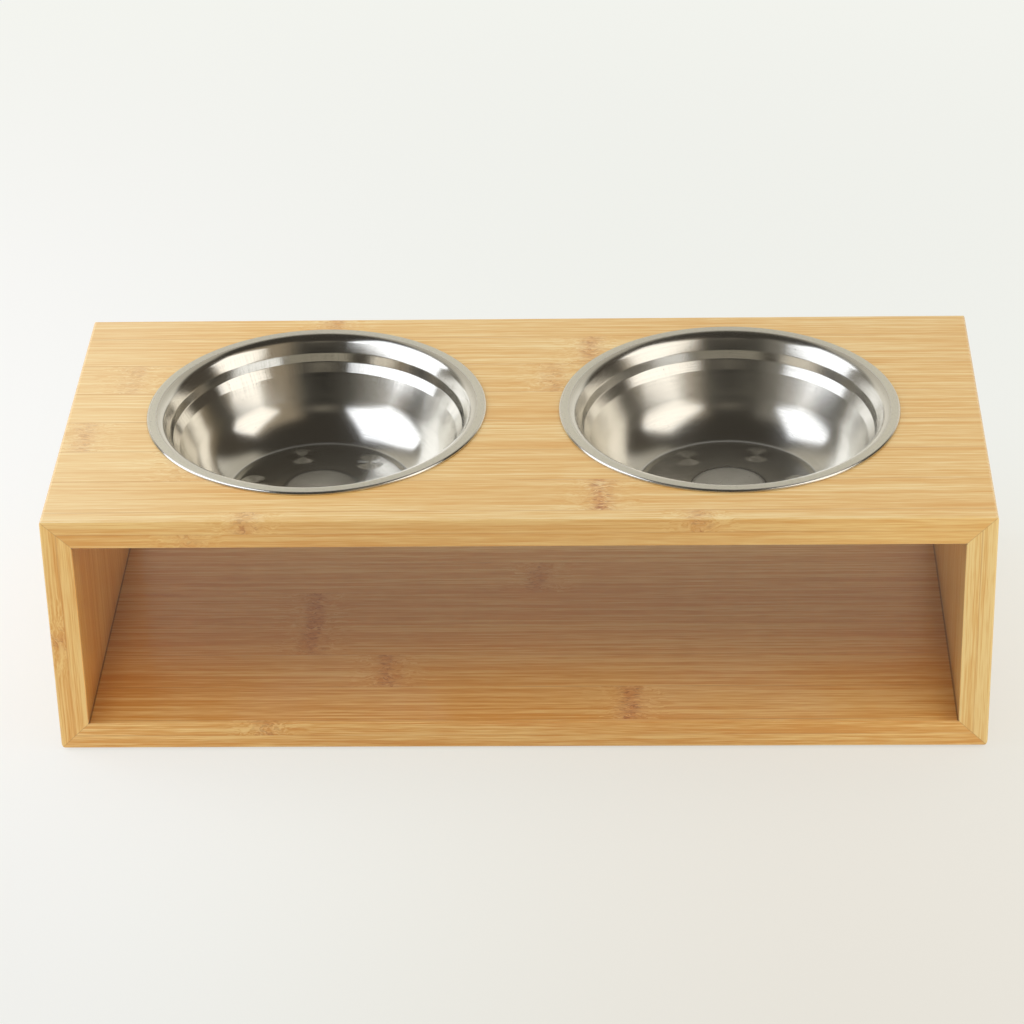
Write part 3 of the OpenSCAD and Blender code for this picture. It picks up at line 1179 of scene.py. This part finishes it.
@dataclass
class SpunBowl:
    """A lift-out bowl spun from one sheet.

    From the rim inwards it has a lip, a flange, a flared mouth, a stacking step,
    a leaning wall, a deep bend, a ring groove and a raised disc. Lengths are in
    millimetres and angles in degrees.
    """

    node: str
    body: str
    centre_x: float
    first_mark: float
    set_back: float = 4.6
    rim_z: float = 116.4
    rim_d: float = 149.3
    flange_w: float = 6.6
    lip_h: float = 1.3
    lip_bend: float = 1.1
    mouth_bend: float = 5.2
    sheet: float = 0.7
    depth: float = 41.2
    flare_lean: float = 27.0
    flare_h: float = 6.9
    flare_bend: float = 3.0
    wall_lean: float = 11.0
    upper_wall: float = 4.2
    shoulder_h: float = 4.1
    shoulder_w: float = 2.6
    shoulder_top_bend: float = 1.8
    shoulder_foot_bend: float = 1.8
    body_lean: float = 21.7
    foot_bend: float = 28.0
    foot_slope: float = 24.0
    foot_run: float = 1.2
    foot_w: float = 1.2
    foot_edge_bend: float = 1.2
    floor_rise: float = 0.3
    disc_d: float = 33.0
    disc_rise: float = 0.4
    slope_w: float = 2.0
    slope_bend: float = 1.5
    edge_bend: float = 0.15
    quarter: int = 16
    turns: int = 256
    finish: SpunSteelFinish = field(default_factory=SpunSteelFinish)

    def skin(self) -> list[Corner]:
        """The corners of the bowl's inner and upper face, from the axis to the lip's end."""
        flare, wall, body = (
            math.tan(math.radians(lean))
            for lean in (self.flare_lean, self.wall_lean, self.body_lean)
        )
        slope = math.radians(self.foot_slope)
        rim_r = self.rim_d / 2.0
        mouth_r = rim_r - self.flange_w
        flare_r = mouth_r - self.flare_h * flare
        step_top_r = flare_r - self.upper_wall * wall
        step_top_z = -self.flare_h - self.upper_wall
        step_foot_r = step_top_r - self.shoulder_w
        step_foot_z = step_top_z - self.shoulder_h
        floor_z = -self.depth
        foot_z = floor_z - self.floor_rise
        half_turn = math.radians(90.0 - self.body_lean - self.foot_slope) / 2.0
        slope_l = self.foot_bend * math.tan(half_turn) + self.foot_run
        bend_z = foot_z + slope_l * math.sin(slope)
        bend_r = step_foot_r - (step_foot_z - bend_z) * body
        foot_r = bend_r - slope_l * math.cos(slope)
        foot_in_r = foot_r - self.foot_w
        disc_r = self.disc_d / 2.0
        return [
            Corner(0.0, floor_z + self.disc_rise),
            Corner(disc_r - self.slope_w / 2.0, floor_z + self.disc_rise, self.slope_bend),
            Corner(disc_r + self.slope_w / 2.0, floor_z, self.slope_bend),
            Corner(foot_in_r - self.slope_w, floor_z, self.slope_bend),
            Corner(foot_in_r, foot_z, self.foot_edge_bend),
            Corner(foot_r, foot_z, self.foot_edge_bend),
            Corner(bend_r, bend_z, self.foot_bend),
            Corner(step_foot_r, step_foot_z, self.shoulder_foot_bend),
            Corner(step_top_r, step_top_z, self.shoulder_top_bend),
            Corner(flare_r, -self.flare_h, self.flare_bend),
            Corner(mouth_r, 0.0, self.mouth_bend),
            Corner(rim_r, 0.0, self.lip_bend),
            Corner(rim_r, -self.lip_h, self.edge_bend),
        ]

    def underside(self, skin: Sequence[Corner]) -> list[Corner]:
        """The same corners moved to the sheet's other face, from the lip's end to the axis.

        Args:
            skin: The corners of the upper face.

        Returns:
            The corners of the lower face.
        """
        found = []
        last = len(skin) - 1
        for i, corner in enumerate(skin):
            before = (skin[max(i, 1)].at() - skin[max(i, 1) - 1].at()).normalized()
            ahead = (skin[min(i, last - 1) + 1].at() - skin[min(i, last - 1)].at()).normalized()
            left = Vector((-before.y, before.x)) + Vector((-ahead.y, ahead.x))
            shift = left / (1.0 + before.dot(ahead))
            turn = before.x * ahead.y - before.y * ahead.x
            moved = corner.at() - shift * self.sheet
            bend = corner.bend + math.copysign(self.sheet, turn) if 0 < i < last else corner.bend
            found.append(Corner(moved.x, moved.y, max(bend, 0.0)))
        return found[::-1]

    def build(self, tree: SpinTree) -> bpy.types.Object:
        """Spins the bowl, dresses it and sets it in its CAD piece's place.

        Args:
            tree: The spinning tree.

        Returns:
            The bowl.
        """
        skin = self.skin()
        path = [point * MM for point in rounded(skin + self.underside(skin), self.quarter)]
        centre = Vector((self.centre_x, self.set_back, self.rim_z)) * MM
        rim_r = self.rim_d / 2.0
        bend = self.mouth_bend * math.tan(math.radians(90.0 - self.flare_lean) / 2.0)
        plan = BowlPlan(
            centre=centre,
            rim_r=rim_r,
            flange_from=rim_r - self.flange_w + bend,
            ring_r=max(corner.out for corner in skin if corner.up <= -self.depth),
            disc_r=self.disc_d / 2.0,
            floor_z=-self.depth,
            first_mark=self.first_mark,
        )
        steel = self.finish.make(f"steel_{self.node}", plan)
        bowl = tree.spin(f"{self.node}_spun", path, centre, self.turns, steel)
        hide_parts(self.node)
        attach(bowl, self.body)
        return bowl


# ---- Studio ----


@dataclass(frozen=True)
class Softbox:
    """A large soft lamp that looks at the feeder.

    Angles are in degrees: round is measured from the camera's side to the right,
    up from the floor. Lengths are in metres. mirrored says whether steel shows it.
    """

    name: str
    round: float
    up: float
    away: float
    width: float
    height: float
    turn_round: float
    turn_up: float
    roll: float
    level: float
    colour: RGB
    mirrored: bool = True
    aim_z: float = 0.1175

    @staticmethod
    def heading(angle: float, rise: float) -> Vector:
        """The direction at an angle round and up."""
        a, b = math.radians(angle), math.radians(rise)
        return Vector((math.sin(a) * math.cos(b), -math.cos(a) * math.cos(b), math.sin(b)))

    def hang(self) -> bpy.types.Object:
        """Makes the lamp.

        Returns:
            The lamp's object.
        """
        data = bpy.data.lights.new(self.name, "AREA")
        data.shape = "RECTANGLE"
        data.size = self.width
        data.size_y = self.height
        data.energy = self.level * self.width * self.height * math.pi
        data.color = self.colour
        lamp = bpy.data.objects.new(self.name, data)
        back = self.heading(self.round + self.turn_round, self.up + self.turn_up)
        facing = -back
        side = Vector((0.0, 0.0, 1.0)).cross(facing).normalized()
        over = facing.cross(side)
        roll = math.radians(self.roll)
        along = side * math.cos(roll) + over * math.sin(roll)
        upper = over * math.cos(roll) - side * math.sin(roll)
        turn = Matrix((along, -upper, back)).transposed()
        place = self.heading(self.round, self.up) * self.away + Vector((0.0, 0.0, self.aim_z))
        lamp.matrix_world = Matrix.Translation(place) @ turn.to_4x4()
        lamp.visible_camera = False
        lamp.visible_glossy = self.mirrored
        bpy.context.scene.collection.objects.link(lamp)
        return lamp


@dataclass(frozen=True)
class MirrorRoom:
    """The room that only mirror rays see, by heading: ceiling, sides, panels and sweep."""

    middle: RGBA = tone(74, 71, 64)
    ceiling: RGBA = tone(54, 50, 43)
    front: RGBA = tone(36, 34, 30)
    front_band: RGBA = tone(122, 116, 104)
    warm_panel: RGBA = tone(152, 139, 119)
    dark_column: RGBA = tone(72, 66, 57)
    left_side: RGBA = tone(128, 124, 115)
    sweep_low: RGBA = tone(236, 232, 221)
    sweep_high: RGBA = tone(180, 175, 162)

    def colour(self, graph: Graph, x: Wire, y: Wire, z: Wire) -> bpy.types.NodeSocket:
        """Paints the room.

        Args:
            graph: The world's graph.
            x: The heading's part to the right.
            y: Its part away from the front.
            z: Its part upwards.

        Returns:
            The room's colour.
        """
        level = (x * x + y * y).root().larger(0.05)
        across, away = x / level, y / level
        low = z.eased(0.85, 0.7)
        found = graph.blend(z.eased(0.5, 0.88), self.middle, self.ceiling)
        facing = across.hump(0.27) * away.eased(0.0, -0.5)
        found = graph.blend(facing * low, found, self.front)
        band = facing * z.eased(0.47, 0.55) * z.eased(0.7, 0.62)
        found = graph.blend(band, found, self.front_band)
        found = graph.blend(across.eased(-0.35, -0.7) * low, found, self.left_side)
        warm = across.eased(0.2, 0.6) * away.eased(0.1, -0.2) * low
        found = graph.blend(warm, found, self.warm_panel)
        column = across.eased(0.5, 0.8) * away.eased(-0.15, 0.05) * low
        found = graph.blend(column, found, self.dark_column)
        sweep = graph.blend(z.eased(0.1, 0.8), self.sweep_low, self.sweep_high)
        return graph.blend(away.eased(0.5, 0.75) * z.eased(0.88, 0.8), found, sweep)


@dataclass
class Studio:
    """The pale sweep, the light and the camera."""

    floor_half: float = 6.0
    plain: RGBA = tone(245, 246, 240)
    # lit is a painted pool of light on the floor's left; warm is painted light bounced off the
    # bamboo in front of the feeder.
    lit: RGBA = tone(251, 250, 247)
    warm: RGBA = tone(238, 234, 224)
    room: MirrorRoom = field(default_factory=MirrorRoom)
    overhead: float = 1.0
    level_fill: float = 1.0
    lamps: tuple[Softbox, ...] = (
        Softbox(
            "left_softbox", round=-99.3, up=35.6, away=0.639, width=0.574, height=0.793,
            turn_round=53.1, turn_up=-24.5, roll=-35.4, level=1.5, colour=(0.95, 1.0, 1.1),
        ),
        Softbox(
            "right_softbox", round=76.2, up=29.5, away=0.719, width=0.487, height=0.712,
            turn_round=-50.7, turn_up=-13.3, roll=43.5, level=1.15, colour=(1.0, 0.985, 0.955),
        ),
        Softbox(
            "front_fill", round=0.0, up=14.0, away=2.0, width=1.3, height=0.8,
            turn_round=0.0, turn_up=0.0, roll=0.0, level=0.75, colour=(1.0, 0.99, 0.97),
            mirrored=False,
        ),
    )
    camera_at: Vector = field(default_factory=lambda: Vector((0.05359, -1.38669, 0.88017)))
    camera_pan: float = -2.447
    camera_tilt: float = 30.418
    camera_roll: float = -1.554
    lens: float = 127.30

    def build(self) -> None:
        """Sets up everything round the feeder."""
        self._floor()
        self._world()
        for lamp in self.lamps:
            lamp.hang()
        self._camera()
        bpy.context.scene.view_settings.view_transform = "Standard"

    @staticmethod
    def _seen(graph: Graph) -> Wire:
        """1 for the camera's rays and those off metal or through glass."""
        rays = graph.rays()
        seen = rays["Is Camera Ray"].larger(rays["Is Glossy Ray"])
        return seen.larger(rays["Is Transmission Ray"])

    def _floor(self) -> None:
        """Lays the pale floor, which shows the feeder's shadow."""
        half = self.floor_half
        mesh = bpy.data.meshes.new("floor")
        mesh.from_pydata(
            [(-half, -half, 0.0), (half, -half, 0.0), (half, half, 0.0), (-half, half, 0.0)],
            [],
            [(0, 1, 2, 3)],
        )
        floor = bpy.data.objects.new("floor", mesh)
        bpy.context.scene.collection.objects.link(floor)
        material, graph = new_material("pale_sweep")
        x, y, _ = graph.parts(graph.place())
        # Painted light on the floor: paler to the left, and warm in front of the feeder, as light
        # bounced off the bamboo.
        left = x.eased(0.05, -0.38) * y.eased(0.9, 0.2)
        front = y.eased(0.25, -0.25) * x.eased(-0.2, 0.15)
        colour = graph.blend(front, graph.blend(left, self.plain, self.lit), self.warm)
        far = (x * x + y * y).root().eased(0.25, 1.1)
        matt = graph.socket("ShaderNodeBsdfDiffuse", None, {"Color": colour}, "BSDF")
        light = {"Color": colour, "Strength": 1.0}
        glow = graph.socket("ShaderNodeEmission", None, light, "Emission")
        share = self._seen(graph) * (far * 0.3 + 0.7)
        both = {"Fac": share, "Shader": matt, "Shader_001": glow}
        mixed = graph.socket("ShaderNodeMixShader", None, both, "Shader")
        graph.node("ShaderNodeOutputMaterial", None, {"Surface": mixed})
        mesh.materials.append(material)

    def _world(self) -> None:
        """Fills the room with even light; the camera sees it plain, steel sees the mirror room."""
        world = bpy.data.worlds.new("studio")
        bpy.context.scene.world = world
        world.use_nodes = True
        graph = Graph(world.node_tree)
        heading = graph.socket("ShaderNodeTexCoord", None, None, "Generated")
        x, y, z = graph.parts(heading)
        rays = graph.rays()
        mirrored = self.room.colour(graph, x, y, z)
        plain_for = rays["Is Camera Ray"].larger(rays["Is Transmission Ray"])
        level = z.eased(0.3, 1.0) * self.overhead + z.eased(0.5, 0.0) * self.level_fill
        lit = graph.blend(rays["Is Glossy Ray"], graph.joined(level, level, level), mirrored)
        colour = graph.blend(plain_for, lit, self.plain)
        light = {"Color": colour, "Strength": 1.0}
        back = graph.socket("ShaderNodeBackground", None, light, "Background")
        graph.node("ShaderNodeOutputWorld", None, {"Surface": back})

    def _camera(self) -> None:
        """Stands the camera where the photograph was taken from."""
        data = bpy.data.cameras.new("camera")
        data.lens = self.lens
        data.sensor_width = 36.0
        data.clip_end = 50.0
        camera = bpy.data.objects.new("camera", data)
        turn = (
            Matrix.Rotation(math.radians(-self.camera_pan), 4, "Z")
            @ Matrix.Rotation(math.radians(90.0 - self.camera_tilt), 4, "X")
            @ Matrix.Rotation(math.radians(self.camera_roll), 4, "Z")
        )
        camera.matrix_world = Matrix.Translation(self.camera_at) @ turn
        bpy.context.scene.collection.objects.link(camera)
        bpy.context.scene.camera = camera


def main() -> None:
    """Builds the studio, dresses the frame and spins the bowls."""
    logging.basicConfig(level=logging.INFO, format="%(name)s: %(message)s")
    Studio().build()
    LOG.info("studio ready")
    for piece in BambooFrame().dress():
        LOG.info("dressed %s", piece)
    tree = SpinTree()
    bright = SpunSteelFinish(
        roughness=0.165,
        disc_roughness=0.22,
        ring_satin=0.12,
        disc_satin=0.02,
        chatter=1.0,
        dent=0.22,
    )
    for bowl in (
        SpunBowl("left_bowl", "left_bowl", -90.5, 50.0, finish=bright),
        SpunBowl("right_bowl", "right_bowl", 90.5, 65.0),
    ):
        made = bowl.build(tree)
        LOG.info("spun %s with %d faces", made.name, len(made.data.polygons))


if __name__ == "__main__":
    main()
